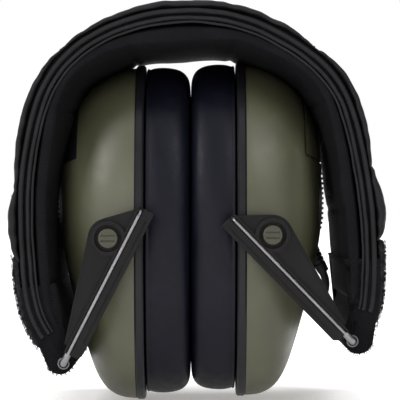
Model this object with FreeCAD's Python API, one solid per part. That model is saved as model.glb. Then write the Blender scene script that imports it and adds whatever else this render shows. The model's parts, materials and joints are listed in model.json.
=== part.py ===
"""Folding earmuff hearing protector with sound-controlled ear cups, in its folded state.

Two ear cups hang between front and rear sliders. Each pair of sliders runs on a U-shaped
steel wire, and the wire folds about a hinge block at the end of a padded headband.
Everything is in millimetres: +X is the right-hand side seen from the front, +Y points to
the back and +Z points up. The origin is on the floor under the middle of the folded muff.
"""
import FreeCAD
import Part

import math
import os

V = FreeCAD.Vector
os.makedirs("parts", exist_ok=True)

# ---------------------------------------------------------------- driving dimensions
MIDDLE_X = -2.6            # plane where the two ear cushions meet
FACE_GAP = 0.3             # air between the two cushions
PIVOT_OUT = 24.7           # cushion face to cup pivot
LEFT_PIVOT_Z = 51.9
RIGHT_PIVOT_Z = 52.9
LEFT_ARM_ANGLE = 63.0      # folded arm above the horizontal, degrees
RIGHT_ARM_ANGLE = 45.7
PIVOT_ALONG = 39.8         # cup pivot from the fold hinge, along the arm wire
PIVOT_ASIDE = 5.1          # cup pivot beside the arm wire

CUP_CENTRE = 1.3           # middle of the cup above its pivot
CUP_HALF_HEIGHT = 53.2
CUP_HALF_DEPTH = 40.0
CUSHION_BACK = 14.3        # cushion face to cushion base
SHELL_RIM = 17.1           # cushion face to shell rim
SHELL_WALL = 2.2
CUSHION_HALF_HEIGHT = 51.3
CUSHION_HALF_DEPTH = 38.7
CUSHION_CENTRE = 1.9
EAR_HALF_HEIGHT = 30.0     # opening for the ear
EAR_HALF_DEPTH = 18.5
FULLNESS = 0.87            # 1 would make the cup's outline an ellipse

DOOR_PLANE = 35.0          # flat seat of the battery door, from the cushion face
DOOR_FOOT = 24.3           # lower inner corner of the door above the pivot
DOOR_SLOPE = 2.5           # drop of the door's lower edge over its own thickness
DOOR_GAP = 0.15

SLIDER_INNER_Y = 41.4      # inner faces of the sliders
SLIDER_OUTER_Y = 46.2
WING_OUTER_Y = 44.6
BAR_START = 3.5
BAR_END = 52.6
BAR_LOW = -4.0
BAR_HIGH = 1.4
BOSS_RADIUS = 6.1
RING_RADIUS = 5.3
PIN_RADIUS = 2.5
PIN_BORE = 2.55
PIN_HEAD_RADIUS = 3.0
HEAD_RECESS = 4.1
BAR_GROOVE = (-2.9, -2.45)  # shallow line along the bar, beside the wire
WIRE_RADIUS = 1.05
WIRE_BORE = 1.15
WIRE_Y = 44.7
WIRE_END = 51.2
WIRE_BEND = 2.6
HOOK_Y = 42.6              # tip of the wire's turned-in end
HOOK_BEND = 1.5
HOOK_WAY_START = 29.0
SLOT_HALF = 0.78

BAND_HALF_WIDTH = 40.0
CORE_HALF_WIDTH = 34.0
COVER_FROM = 0.122
COVER_TO = 0.902
END_HALF_WIDTH = 40.9
END_BLOCK_RADIUS = 3.3
BINDING_RADIUS = 4.5

# Middle line of the headband from the left end to the right end, as (x, z).
SPINE = [(-42.9, 18.3), (-48.6, 27.5), (-51.3, 40), (-52.3, 54), (-52.2, 68), (-50.8, 81),
         (-47.9, 93.5), (-41.8, 104.5), (-31, 112.8), (-16, 117.9), (-1.5, 119.2), (13, 117.4),
         (28.5, 110.6), (38.4, 102.6), (43.6, 94.5), (47.0, 83), (49.6, 69), (51.2, 54),
         (51.4, 40), (50.4, 31), (48.6, 25.0)]


# ---------------------------------------------------------------- small helpers
def save(name, shape):
    """Writes one node, after a check that every piece of it is a sound solid."""
    solids = shape.Solids
    assert solids and all(s.isValid() and s.Volume > 0.5 for s in solids), name
    keep = solids[0] if len(solids) == 1 else Part.makeCompound(solids)
    keep.exportStep(f"parts/{name}.step")
    print(f"{name:26s} {len(solids)} solid(s) {sum(s.Volume for s in solids):10.1f} mm3")


def prism(points, y_low, y_high):
    """A straight-sided solid over a closed outline in the XZ plane."""
    ring = [V(x, y_low, z) for x, z in points]
    face = Part.Face(Part.makePolygon(ring + ring[:1]))
    return face.extrude(V(0, y_high - y_low, 0))


def rod(radius, start, end):
    return Part.makeCylinder(radius, (end - start).Length, start, end - start)


def mirrored(shape, plane_x):
    return shape.mirror(V(plane_x, 0, 0), V(1, 0, 0))


def both_ends(shape):
    """The front piece given and its twin at the back."""
    return shape, shape.mirror(V(0, 0, 0), V(0, 1, 0))


def bent_rod(points, radius, bends):
    """A round rod along straight runs joined by arcs, one radius for each corner.
    Its volume is compared with that of its length in straight rod."""
    edges, start = [], points[0]
    for before, corner, after, bend in zip(points, points[1:], points[2:], bends):
        a = (before - corner).normalize()
        b = (after - corner).normalize()
        half = a.getAngle(b) / 2
        reach = bend / math.tan(half)
        middle = corner + (a + b).normalize() * (bend / math.sin(half) - bend)
        first, last = corner + a * reach, corner + b * reach
        edges += [Part.makeLine(start, first), Part.Arc(first, middle, last).toShape()]
        start = last
    edges.append(Part.makeLine(start, points[-1]))
    line = Part.Wire(edges)
    section = Part.Wire(Part.makeCircle(radius, points[0], points[1] - points[0]))
    made = line.makePipeShell([section], True, False)
    ratio = made.Volume / (math.pi * radius ** 2 * line.Length)
    print(f"  bent rod {line.Length:.1f} mm long, volume ratio {ratio:.3f}")
    return made


# ---------------------------------------------------------------- ear cup
# A cup is drawn with its cushion face on the YZ plane, X pointing outward and Z measured
# from the pivot. place() sets it at its real side.
def place(shape, side):
    pivot_z = LEFT_PIVOT_Z if side == "left" else RIGHT_PIVOT_Z
    if side == "left":
        shape = mirrored(shape, 0)
    moved = shape.copy()
    moved.translate(V(MIDDLE_X, 0, pivot_z))
    return moved


def oval(x, half_height, half_depth, centre=CUP_CENTRE):
    """Closed outline a little fuller than an ellipse, in the plane at x."""
    points = []
    for i in range(24):
        turn = math.radians(i * 15)
        y, z = math.sin(turn), math.cos(turn)
        points.append(V(x, math.copysign(abs(y) ** FULLNESS, y) * half_depth,
                        math.copysign(abs(z) ** FULLNESS, z) * half_height + centre))
    curve = Part.BSplineCurve()
    curve.interpolate(points, True)
    return Part.Wire(curve.toShape())


def oval_plate(x_low, x_high, half_height, half_depth, centre=CUP_CENTRE):
    face = Part.Face(oval(x_low, half_height, half_depth, centre))
    return face.extrude(V(x_high - x_low, 0, 0))


# Cutting tools start well inside a cup and end well outside it.
CUT_INSIDE, CUT_OUTSIDE = 20.0, 60.0
DOME_OUT = 41.2
# Dome sections: distance from the cushion face, lowest and highest point, half depth.
DOME = [(SHELL_RIM, -51.6, 53.6, 39.6), (22, -51.0, 52.6, 38.9), (27, -47.8, 50.4, 37.2),
        (32, -37.4, 46.8, 33.8), (36, -23.5, 41.8, 30.5), (39.2, -10.5, 35.0, 22.5),
        (DOME_OUT, 0.5, 25.5, 12.4)]
PIVOT_PAD_RADIUS, PIVOT_PAD_FACE = 6.0, 41.1
PIN_END = 33.6
HOLE_GAP = 0.1                # between a part and the hole or seat that it is pressed into
OUTLINE_GROOVE = 0.5          # width and depth of the groove that copies the door's outline


def dome(inset):
    """The cup's outer form, or the same form set in by a wall thickness."""
    rings = []
    for x, low, high, half_depth in DOME:
        x_in = x if x == SHELL_RIM else x - inset
        rings.append(oval(x_in, (high - low) / 2 - inset, half_depth - inset, (low + high) / 2))
    return Part.makeLoft(rings, True, False)


def door_region(gap):
    """The upper outer corner of the cup that the battery door fills."""
    foot, edge, far = DOOR_FOOT + gap, DOOR_PLANE + gap, CUT_OUTSIDE
    slope = DOOR_SLOPE / (DOME_OUT - DOOR_PLANE)
    low_far = foot - slope * (far - DOOR_PLANE)
    return prism([(edge, foot), (far, low_far), (far, far), (edge, far)], -far, far)


def pivot_pads():
    """Round pads on the shell's front and rear that carry the pivot pins."""
    pad = rod(PIVOT_PAD_RADIUS, V(PIVOT_OUT, -PIVOT_PAD_FACE, 0), V(PIVOT_OUT, -CUT_INSIDE, 0))
    front, rear = both_ends(pad)
    return front.fuse(rear)


def pin_holes():
    hole = rod(PIN_RADIUS, V(PIVOT_OUT, -CUT_OUTSIDE, 0), V(PIVOT_OUT, HOLE_GAP - PIN_END, 0))
    front, rear = both_ends(hole)
    return front.fuse(rear)


GRIP_SEAT, GRIP_FACE, GRIP_CENTRE = 40.0, 41.35, 10.7
GRIP_HALF_HEIGHT, GRIP_HALF_DEPTH = 9.6, 19.5
RIB_LOW, RIB_HIGH = 0.6, 21.2
RIB_PITCH, RIB_DEPTH = 1.55, 0.45


def outer_plate():
    """Black rubber grip plate with level ribs, seated in the flat of the dome."""
    seat = oval_plate(GRIP_SEAT, GRIP_FACE, GRIP_HALF_HEIGHT, GRIP_HALF_DEPTH, GRIP_CENTRE)
    plate = seat
    z = RIB_LOW
    while z < RIB_HIGH:
        plate = plate.cut(Part.makeBox(1, 2 * CUT_OUTSIDE, RIB_PITCH / 2,
                                       V(GRIP_FACE - RIB_DEPTH, -CUT_OUTSIDE, z)))
        z += RIB_PITCH
    return seat, plate


def shell(side):
    hollow = dome(SHELL_WALL)
    body = dome(0).cut(hollow)
    pads = pivot_pads().common(Part.makeBox(30, 120, 30, V(SHELL_RIM, -60, -15)))
    body = body.fuse(pads.cut(hollow))
    body = body.cut(pin_holes())
    seat, _ = outer_plate()
    body = body.cut(seat)
    if side == "left":
        body = body.cut(door_region(0))
        body = body.fuse(battery_wall())
        body = body.fuse(knob_pad().cut(hollow))
        body = body.cut(knob_hole())
    else:
        groove = door_region(0).cut(door_region(OUTLINE_GROOVE))
        body = body.cut(groove.common(dome(0).cut(dome(OUTLINE_GROOVE))))
        body = body.cut(cable_hole()).cut(jack_hole())
    return body.cut(microphone_seat())


BATTERY_WALL, BATTERY_WALL_DROP = 1.6, 2.0
CELL_OPENING_WIDTH, CELL_OPENING_HEIGHT, CELL_OPENING_SILL = 45.0, 10.8, 1.2
DOOR_SKIN, DOOR_RIM = 1.7, 1.4
FINGER_GROOVES = (28.4, 30.2, 32.0)
FINGER_GROOVE_WIDTH, FINGER_GROOVE_HEIGHT, FINGER_GROOVE_DEPTH = 16.0, 0.7, 0.6


def battery_wall():
    """Flat wall behind the door, with the opening that the cells go in through."""
    wall = Part.makeBox(BATTERY_WALL, 2 * CUT_OUTSIDE, CUT_OUTSIDE,
                        V(DOOR_PLANE - BATTERY_WALL, -CUT_OUTSIDE, DOOR_FOOT - BATTERY_WALL_DROP))
    opening = Part.makeBox(CUT_INSIDE, CELL_OPENING_WIDTH, CELL_OPENING_HEIGHT,
                           V(DOOR_PLANE - CUT_INSIDE / 2, -CELL_OPENING_WIDTH / 2,
                             DOOR_FOOT + CELL_OPENING_SILL))
    return wall.common(dome(0)).cut(opening)


def battery_door():
    door = dome(0).common(door_region(DOOR_GAP))
    inside = dome(DOOR_SKIN).common(door_region(DOOR_GAP + DOOR_RIM))
    inside.translate(V(-DOOR_RIM, 0, 0))
    door = door.cut(inside.common(door_region(-1)))
    for z in FINGER_GROOVES:
        groove = Part.makeBox(CUT_OUTSIDE, FINGER_GROOVE_WIDTH, FINGER_GROOVE_HEIGHT,
                              V(DOOR_PLANE, -FINGER_GROOVE_WIDTH / 2, z))
        door = door.cut(groove.cut(dome(FINGER_GROOVE_DEPTH)))
    return door


KNOB_AT = V(25.0, 0, -33)
JACK_AT = V(24.0, 0, -20)
MIC_AT = V(26.5, 0, 40)
KNOB_RADIUS, KNOB_STEM_RADIUS, KNOB_PAD_RADIUS = 7.2, 3.2, 7.0
KNOB_SEAT, KNOB_TOP, KNOB_GAP = 33.2, 39.2, 0.3
KNOB_STEM_END = 24.0
FLUTES, FLUTE_RADIUS, FLUTE_FOOT = 24, 0.55, 34.4
MARK_WIDTH, MARK_LENGTH, MARK_DEPTH = 1.0, 4.5, 0.5
PLUG_RADIUS = 1.8
BARREL_RADIUS, BARREL_END, BARREL_BACK = 3.35, 22.0, 24.0
COLLAR_RADIUS, COLLAR_SEAT, COLLAR_TOP = 4.3, 36.0, 37.6
MIC_RADIUS, MIC_BACK, MIC_FRONT = 4.5, 22.4, 30.2
SOUND_HOLES, SOUND_HOLE_RADIUS, SOUND_HOLE_REACH, SOUND_HOLE_DEPTH = 6, 0.6, 2.3, 1.4


def along_depth(radius, at, start, end):
    """A round bar from front to back through a place on the cup."""
    return rod(radius, V(at.x, start, at.z), V(at.x, end, at.z))


def ring_of_places(at, count, reach, y):
    """Places evenly round a point, all at one depth."""
    turns = [2 * math.pi * i / count for i in range(count)]
    return [V(at.x + reach * math.cos(a), y, at.z + reach * math.sin(a)) for a in turns]


def knob_pad():
    """Round seat that grows out of the sloping wall under the volume knob."""
    return along_depth(KNOB_PAD_RADIUS, KNOB_AT, CUT_INSIDE, KNOB_SEAT - KNOB_GAP)


def knob_hole():
    hole = along_depth(KNOB_STEM_RADIUS + HOLE_GAP, KNOB_AT, CUT_INSIDE, CUT_OUTSIDE)
    recess = along_depth(KNOB_RADIUS + 2 * KNOB_GAP, KNOB_AT, KNOB_SEAT - KNOB_GAP, CUT_OUTSIDE)
    return hole.fuse(recess)


def volume_knob():
    stem = along_depth(KNOB_STEM_RADIUS, KNOB_AT, KNOB_STEM_END, KNOB_SEAT + 1)
    head = along_depth(KNOB_RADIUS, KNOB_AT, KNOB_SEAT, KNOB_TOP)
    for at in ring_of_places(KNOB_AT, FLUTES, KNOB_RADIUS + 0.1, FLUTE_FOOT):
        head = head.cut(along_depth(FLUTE_RADIUS, at, FLUTE_FOOT, CUT_OUTSIDE))
    mark = Part.makeBox(MARK_WIDTH, 1, MARK_LENGTH,
                        V(KNOB_AT.x - MARK_WIDTH / 2, KNOB_TOP - MARK_DEPTH, KNOB_AT.z + 2))
    return stem.fuse(head).cut(mark).removeSplitter()


def jack_hole():
    hole = along_depth(BARREL_RADIUS + HOLE_GAP / 2, JACK_AT, CUT_INSIDE, CUT_OUTSIDE)
    return hole.fuse(along_depth(COLLAR_RADIUS + 2 * HOLE_GAP, JACK_AT, COLLAR_SEAT, CUT_OUTSIDE))


def audio_jack():
    """3.5 mm socket in a threaded-in barrel on the right cup's rear face."""
    barrel = along_depth(BARREL_RADIUS, JACK_AT, BARREL_END, COLLAR_SEAT + 0.5)
    collar = along_depth(COLLAR_RADIUS, JACK_AT, COLLAR_SEAT, COLLAR_TOP)
    bore = along_depth(PLUG_RADIUS, JACK_AT, BARREL_BACK, CUT_OUTSIDE)
    return barrel.fuse(collar).cut(bore).removeSplitter()


def microphone_seat():
    return along_depth(MIC_RADIUS + HOLE_GAP, MIC_AT, MIC_BACK - 2 * HOLE_GAP, CUT_OUTSIDE)


def microphone():
    can = along_depth(MIC_RADIUS, MIC_AT, MIC_BACK, MIC_FRONT)
    can = can.makeFillet(1.0, [e for e in can.Edges if e.BoundBox.YMin > MIC_FRONT - 0.1])
    depth = MIC_FRONT - SOUND_HOLE_DEPTH
    for at in [MIC_AT] + ring_of_places(MIC_AT, SOUND_HOLES, SOUND_HOLE_REACH, depth):
        can = can.cut(along_depth(SOUND_HOLE_RADIUS, at, depth, CUT_OUTSIDE))
    return can


CUSHION_EDGE = 4.5
SCREW_RADIUS, SCREW_END = 1.25, 22.0
SCREW_DEPTH, SCREW_HEIGHT = 25.0, 26.0
FOAM_BACK, FOAM_HALF_HEIGHT, FOAM_HALF_DEPTH = 20.4, 46.5, 33.0
SPEAKER_CENTRE, SPEAKER_RADIUS, MAGNET_RADIUS = -8.0, 15.0, 8.5
SPEAKER_FACE, SPEAKER_BACK, MAGNET_BACK = 21.6, 24.4, 28.6
BOARD_OUT, BOARD_THICK = 30.2, 1.2
BOARD_DEPTH, BOARD_HEIGHT, BOARD_FOOT = 44.0, 34.0, -26.0
CHIP_SIZE, CHIP_THICK, CHIP_FOOT = 8.0, 1.4, -12.0


def cushion():
    """Foam ring: wide soft edges on the face side, flat base."""
    face = FACE_GAP / 2
    ring = oval_plate(face, CUSHION_BACK, CUSHION_HALF_HEIGHT, CUSHION_HALF_DEPTH, CUSHION_CENTRE)
    ring = ring.cut(oval_plate(-1, CUT_INSIDE, EAR_HALF_HEIGHT, EAR_HALF_DEPTH))
    soft = [e for e in ring.Edges if e.BoundBox.XMax < face + 0.01 and e.BoundBox.XMin < face + 0.01]
    return ring.makeFillet(CUSHION_EDGE, soft)


def back_plate():
    plate = oval_plate(CUSHION_BACK, SHELL_RIM, CUP_HALF_HEIGHT, CUP_HALF_DEPTH)
    plate = plate.cut(oval_plate(0, CUT_INSIDE, EAR_HALF_HEIGHT - 3, EAR_HALF_DEPTH - 2.5))
    for at in screw_places():
        plate = plate.cut(rod(SCREW_RADIUS + HOLE_GAP / 2, V(0, at.y, at.z),
                              V(CUT_INSIDE, at.y, at.z)))
    return plate.makeChamfer(0.5, [e for e in plate.Edges
                                   if e.BoundBox.ZMax > 50 and e.Length > 200])


def screw_places():
    return [V(0, y, CUP_CENTRE + z) for y in (-SCREW_DEPTH, SCREW_DEPTH)
            for z in (-SCREW_HEIGHT, SCREW_HEIGHT)]


def screws():
    made = []
    for at in screw_places():
        made.append(rod(SCREW_RADIUS, V(CUSHION_BACK, at.y, at.z), V(SCREW_END, at.y, at.z)))
    return Part.makeCompound(made)


def foam_liner():
    """Sheet of open foam behind the ear opening, cut clear of the screws."""
    sheet = oval_plate(SHELL_RIM + 0.2, FOAM_BACK, FOAM_HALF_HEIGHT, FOAM_HALF_DEPTH)
    for at in screw_places():
        sheet = sheet.cut(rod(SCREW_RADIUS + 0.95, V(0, at.y, at.z), V(CUT_OUTSIDE, at.y, at.z)))
    return sheet


def speaker():
    back = V(SPEAKER_BACK, 0, SPEAKER_CENTRE)
    cone = rod(SPEAKER_RADIUS, V(SPEAKER_FACE, 0, SPEAKER_CENTRE), back)
    magnet = rod(MAGNET_RADIUS, back, V(MAGNET_BACK, 0, SPEAKER_CENTRE))
    return cone.fuse(magnet).removeSplitter()


def circuit_board():
    board = Part.makeBox(BOARD_THICK, BOARD_DEPTH, BOARD_HEIGHT,
                         V(BOARD_OUT, -BOARD_DEPTH / 2, BOARD_FOOT))
    chip = Part.makeBox(CHIP_THICK, CHIP_SIZE, CHIP_SIZE,
                        V(BOARD_OUT + BOARD_THICK, -CHIP_SIZE / 2, CHIP_FOOT))
    return board.common(dome(SHELL_WALL + 0.4)).fuse(chip).removeSplitter()


CELL_RADIUS, CELL_HALF = 5.2, 22.0
CELLS = [(27.4, 20.0), (27.4, 30.9)]
CELL_CAP_RADIUS = 1.9
CONTACT_SIZE, CONTACT_THICK = 7.0, 0.5


def battery_cells():
    made = []
    for x, z in CELLS:
        body = rod(CELL_RADIUS, V(x, -CELL_HALF, z), V(x, CELL_HALF - 1, z))
        made.append(body.fuse(rod(CELL_CAP_RADIUS, V(x, CELL_HALF - 1, z), V(x, CELL_HALF, z))))
    return Part.makeCompound(made)


def battery_contacts():
    plates = []
    reach = CONTACT_SIZE / 2
    for y in (-CELL_HALF - HOLE_GAP - CONTACT_THICK, CELL_HALF + HOLE_GAP):
        for x, z in CELLS:
            corner = V(x - reach, y, z - reach)
            plates.append(Part.makeBox(CONTACT_SIZE, CONTACT_THICK, CONTACT_SIZE, corner))
    return Part.makeCompound(plates)


PIN_FACE, PIN_HEAD_THICK = 45.9, 2.2
PIN_GROOVES = (0.55, -1.1)
PIN_GROOVE_LENGTH, PIN_GROOVE_HEIGHT, PIN_GROOVE_DEPTH = 4.2, 0.55, 0.4


def pivot_pin():
    """Front pin: shaft pressed into the pad and a flat head with two cross grooves."""
    shaft = rod(PIN_RADIUS, V(PIVOT_OUT, -WING_OUTER_Y + 0.9, 0), V(PIVOT_OUT, -PIN_END, 0))
    head = rod(PIN_HEAD_RADIUS, V(PIVOT_OUT, -PIN_FACE, 0), V(PIVOT_OUT, PIN_HEAD_THICK - PIN_FACE, 0))
    head = head.makeFillet(0.5, [e for e in head.Edges if e.BoundBox.YMax < 0.1 - PIN_FACE])
    for z in PIN_GROOVES:
        corner = V(PIVOT_OUT - PIN_GROOVE_LENGTH / 2, -PIN_FACE, z)
        head = head.cut(Part.makeBox(PIN_GROOVE_LENGTH, PIN_GROOVE_DEPTH, PIN_GROOVE_HEIGHT, corner))
    return shaft.fuse(head).removeSplitter()


# ---------------------------------------------------------------- cable from right cup to slider
CABLE_RADIUS = 1.25
CABLE_EXIT = V(38.9, 6.0, -5.6)
BOOT_TIP = V(42.9, 7.5, -12.6)
BOOT_ROOT_RADIUS, BOOT_TIP_RADIUS, BOOT_CORE_RADIUS = 2.5, 1.75, 1.65
BOOT_GROOVES, BOOT_GROOVE_START, BOOT_GROOVE_PITCH, BOOT_GROOVE_WIDTH = 3, 1.6, 1.55, 0.6


def cable_hole():
    lead = (BOOT_TIP - CABLE_EXIT).normalize()
    return rod(1.9, CABLE_EXIT - lead * 6, CABLE_EXIT + lead * 3)


def cable_boot():
    """Ribbed strain relief that grows out of the shell."""
    along = (BOOT_TIP - CABLE_EXIT).normalize()
    root = CABLE_EXIT - along * 0.2
    length = (BOOT_TIP - root).Length
    body = Part.makeCone(BOOT_ROOT_RADIUS, BOOT_TIP_RADIUS, length, root, along)
    for i in range(BOOT_GROOVES):
        at = root + along * (BOOT_GROOVE_START + BOOT_GROOVE_PITCH * i)
        groove = Part.makeCylinder(2 * BOOT_ROOT_RADIUS, BOOT_GROOVE_WIDTH, at, along)
        body = body.cut(groove.cut(Part.makeCylinder(BOOT_CORE_RADIUS, BOOT_GROOVE_WIDTH, at, along)))
    body = body.cut(dome(0))
    return body.cut(rod(CABLE_RADIUS, root - along * 3, BOOT_TIP + along)).removeSplitter()


def cable_route():
    """Points of the cable from the boot's root to the rear slider, chosen by hand."""
    origin = V(MIDDLE_X, 0, RIGHT_PIVOT_Z)
    lead = (BOOT_TIP - CABLE_EXIT).normalize()
    return [origin + CABLE_EXIT + lead * 1.5, origin + BOOT_TIP + lead * 1.2,
            origin + V(44.0, 13.0, -19.0), origin + V(41.8, 21.0, -24.0),
            origin + V(39.0, 29.0, -25.5), arm_point("right", 14.0, 1.5, 34.5),
            arm_point("right", 14.0, 1.5, SLIDER_INNER_Y - 0.05)]


def widest_bends(points):
    """For each corner, the largest arc that its two runs allow."""
    bends = []
    for before, corner, after in zip(points, points[1:], points[2:]):
        a, b = before - corner, after - corner
        reach = 0.45 * min(a.Length, b.Length)
        bends.append(reach * math.tan(a.getAngle(b) / 2))
    print("  cable bends", ", ".join(f"{bend:.1f}" for bend in bends), "mm")
    return bends


# ---------------------------------------------------------------- folding arms
def pivot_of(side):
    if side == "left":
        return V(MIDDLE_X - PIVOT_OUT, 0, LEFT_PIVOT_Z)
    return V(MIDDLE_X + PIVOT_OUT, 0, RIGHT_PIVOT_Z)


def arm_axes(side):
    """Unit vectors along the arm wire and across it towards the cup pivot."""
    if side == "left":
        angle, hand = math.radians(LEFT_ARM_ANGLE), 1
    else:
        angle, hand = math.radians(180 - RIGHT_ARM_ANGLE), -1
    along = V(math.cos(angle), 0, math.sin(angle))
    across = V(-math.sin(angle) * hand, 0, math.cos(angle) * hand)
    return along, across


def hinge_of(side):
    along, across = arm_axes(side)
    return pivot_of(side) - along * PIVOT_ALONG - across * PIVOT_ASIDE


def arm_point(side, s, t, y=0.0):
    along, across = arm_axes(side)
    return hinge_of(side) + along * s + across * t + V(0, y, 0)


def arm_outline(side, pairs):
    points = [arm_point(side, s, t) for s, t in pairs]
    return [(p.x, p.z) for p in points]


def tangent_point(s, t, upper):
    """Where a line from (s, t) touches the boss circle, in arm coordinates."""
    ds, dt = PIVOT_ALONG - s, PIVOT_ASIDE - t
    away = math.hypot(ds, dt)
    turn = math.asin(BOSS_RADIUS / away) * upper
    reach = math.sqrt(away ** 2 - BOSS_RADIUS ** 2)
    angle = math.atan2(dt, ds) + turn
    return s + reach * math.cos(angle), t + reach * math.sin(angle)


def slider(side):
    """Front slider: channel bar on the wire, wing plate and pivot boss."""
    bar = prism(arm_outline(side, [(BAR_START + 1.2, BAR_LOW), (BAR_END, BAR_LOW), (BAR_END, BAR_HIGH),
                                   (BAR_START, BAR_HIGH), (BAR_START, BAR_LOW + 1.2)]),
                -SLIDER_OUTER_Y, -SLIDER_INNER_Y)
    foot, top = (5.6, 2.4), (BAR_END - 0.6, 1.0)
    touch_foot, touch_top = tangent_point(*foot, 1), tangent_point(*top, -1)
    centre = (PIVOT_ALONG, PIVOT_ASIDE)
    wing = prism(arm_outline(side, [(foot[0], 0.6), foot, touch_foot, centre, touch_top, top,
                                    (top[0], 0.6)]), -WING_OUTER_Y, -SLIDER_INNER_Y)
    pivot = pivot_of(side)
    disc = rod(BOSS_RADIUS, V(pivot.x, -WING_OUTER_Y, pivot.z), V(pivot.x, -SLIDER_INNER_Y, pivot.z))
    ring = rod(RING_RADIUS, V(pivot.x, -SLIDER_OUTER_Y + 0.2, pivot.z), V(pivot.x, -43, pivot.z))
    body = bar.fuse([wing, disc, ring]).removeSplitter()
    body = body.cut(wing_rim(side, foot, touch_foot))
    wire_start = arm_point(side, -2, 0, -WIRE_Y)
    body = body.cut(rod(WIRE_BORE, wire_start, arm_point(side, 60, 0, -WIRE_Y)))
    mouth = prism(arm_outline(side, [(-2, -SLOT_HALF), (60, -SLOT_HALF), (60, SLOT_HALF),
                                     (-2, SLOT_HALF)]), -50, -WIRE_Y)
    hook_way = prism(arm_outline(side, [(HOOK_WAY_START, -WIRE_BORE), (60, -WIRE_BORE),
                                        (60, WIRE_BORE), (HOOK_WAY_START, WIRE_BORE)]),
                     -WIRE_Y, -42.4)
    body = body.cut(mouth).cut(hook_way)
    low, high = BAR_GROOVE
    groove = prism(arm_outline(side, [(9, low), (BAR_END - 3, low), (BAR_END - 3, high), (9, high)]),
                   -50, -SLIDER_OUTER_Y + 0.4)
    body = body.cut(groove)
    bore = rod(PIN_BORE, V(pivot.x, -50, pivot.z), V(pivot.x, -40, pivot.z))
    recess = rod(HEAD_RECESS, V(pivot.x, -50, pivot.z), V(pivot.x, -43.6, pivot.z))
    return body.cut(bore).cut(recess).removeSplitter()


def wing_rim(side, foot, touch):
    """Shallow step along the wing's outer edge."""
    ds, dt = touch[0] - foot[0], touch[1] - foot[1]
    size = math.hypot(ds, dt)
    ns, nt = dt / size, -ds / size
    edge = [foot, touch, (touch[0] + ns * 0.8, touch[1] + nt * 0.8),
            (foot[0] + ns * 0.8, foot[1] + nt * 0.8)]
    return prism(arm_outline(side, edge), -50, -WING_OUTER_Y + 0.5)


def arm_wire(side):
    """U-shaped steel wire: its base is the fold hinge and its legs carry the sliders."""
    corners = [arm_point(side, WIRE_END, 0, -HOOK_Y), arm_point(side, WIRE_END, 0, -WIRE_Y),
               arm_point(side, 0, 0, -WIRE_Y), arm_point(side, 0, 0, WIRE_Y),
               arm_point(side, WIRE_END, 0, WIRE_Y), arm_point(side, WIRE_END, 0, HOOK_Y)]
    return bent_rod(corners, WIRE_RADIUS, [HOOK_BEND, WIRE_BEND, WIRE_BEND, HOOK_BEND])


# ---------------------------------------------------------------- headband
def spine_curve():
    curve = Part.BSplineCurve()
    curve.interpolate([V(x, 0, z) for x, z in SPINE])
    return curve


CURVE = spine_curve()
FIRST, LAST = CURVE.FirstParameter, CURVE.LastParameter


def band_point(share, offset):
    """A point on the headband: share runs from 0 at the left end to 1 at the right end,
    and offset is measured outward from the middle line."""
    at = FIRST + (LAST - FIRST) * share
    point, tangent = CURVE.value(at), CURVE.tangent(at)[0]
    outward = V(-tangent.z, 0, tangent.x)
    return point + outward * offset


def profile(knots, share):
    """Smooth value between hand-set (share, value) knots."""
    if share <= knots[0][0]:
        return knots[0][1]
    for (a, low), (b, high) in zip(knots, knots[1:]):
        if share <= b:
            t = (share - a) / (b - a)
            return low + (high - low) * t * t * (3 - 2 * t)
    return knots[-1][1]


def band_strip(share_a, share_b, low, high, y_low, y_high, steps=28):
    """A strip of the headband between two offsets, which may depend on the share."""
    def line(offset):
        shares = [share_a + (share_b - share_a) * i / steps for i in range(steps + 1)]
        points = [band_point(s, offset(s)) for s in shares]
        curve = Part.BSplineCurve()
        curve.interpolate(points)
        return curve.toShape(), points
    inner, inner_points = line(low)
    outer, outer_points = line(high)
    ends = [Part.makeLine(inner_points[-1], outer_points[-1]),
            Part.makeLine(outer_points[0], inner_points[0])]
    face = Part.Face(Part.Wire(Part.__sortEdges__([inner, ends[0], outer, ends[1]])))
    face.translate(V(0, y_low, 0))
    return face.extrude(V(0, y_high - y_low, 0))


# Thickness of the inner pad and of the outer cover along the headband.
PAD_DEPTH = [(0.03, 6.0), (0.10, 7.2), (0.25, 7.4), (0.34, 5.6), (0.40, 6.6), (0.5, 9.6),
             (0.60, 6.8), (0.67, 5.6), (0.78, 7.6), (0.86, 9.2), (0.93, 8.8), (0.965, 7.0)]
COVER_HEIGHT = [(0.12, 5.6), (0.17, 5.8), (0.22, 4.9), (0.3, 4.4), (0.5, 4.8), (0.7, 4.4),
                (0.80, 4.7), (0.87, 6.3), (0.90, 5.8)]
CLOSURE_HEIGHT = [(0.0, 3.2), (0.08, 4.2), (0.5, 4.4), (0.92, 4.2), (1.0, 3.2)]


def band_pad():
    w = BAND_HALF_WIDTH
    return band_strip(0.035, 0.965, lambda s: -profile(PAD_DEPTH, s), lambda s: -1.3, -w, w)


def band_core():
    w = CORE_HALF_WIDTH
    return band_strip(0.02, 0.98, lambda s: -1.0, lambda s: 0.6, -w, w)


def band_spring():
    return band_strip(0.012, 0.988, lambda s: -1.0, lambda s: 0.9, -38.6, -36.0)


def band_cover():
    w = BAND_HALF_WIDTH
    cover = band_strip(COVER_FROM, COVER_TO, lambda s: 1.2, lambda s: profile(COVER_HEIGHT, s), -w, w)
    top = cover.BoundBox.ZMax
    long_edges = [e for e in cover.Edges if e.Length > 100 and e.BoundBox.ZMax > top - 1.5]
    return cover.makeFillet(2.4, long_edges)


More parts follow.
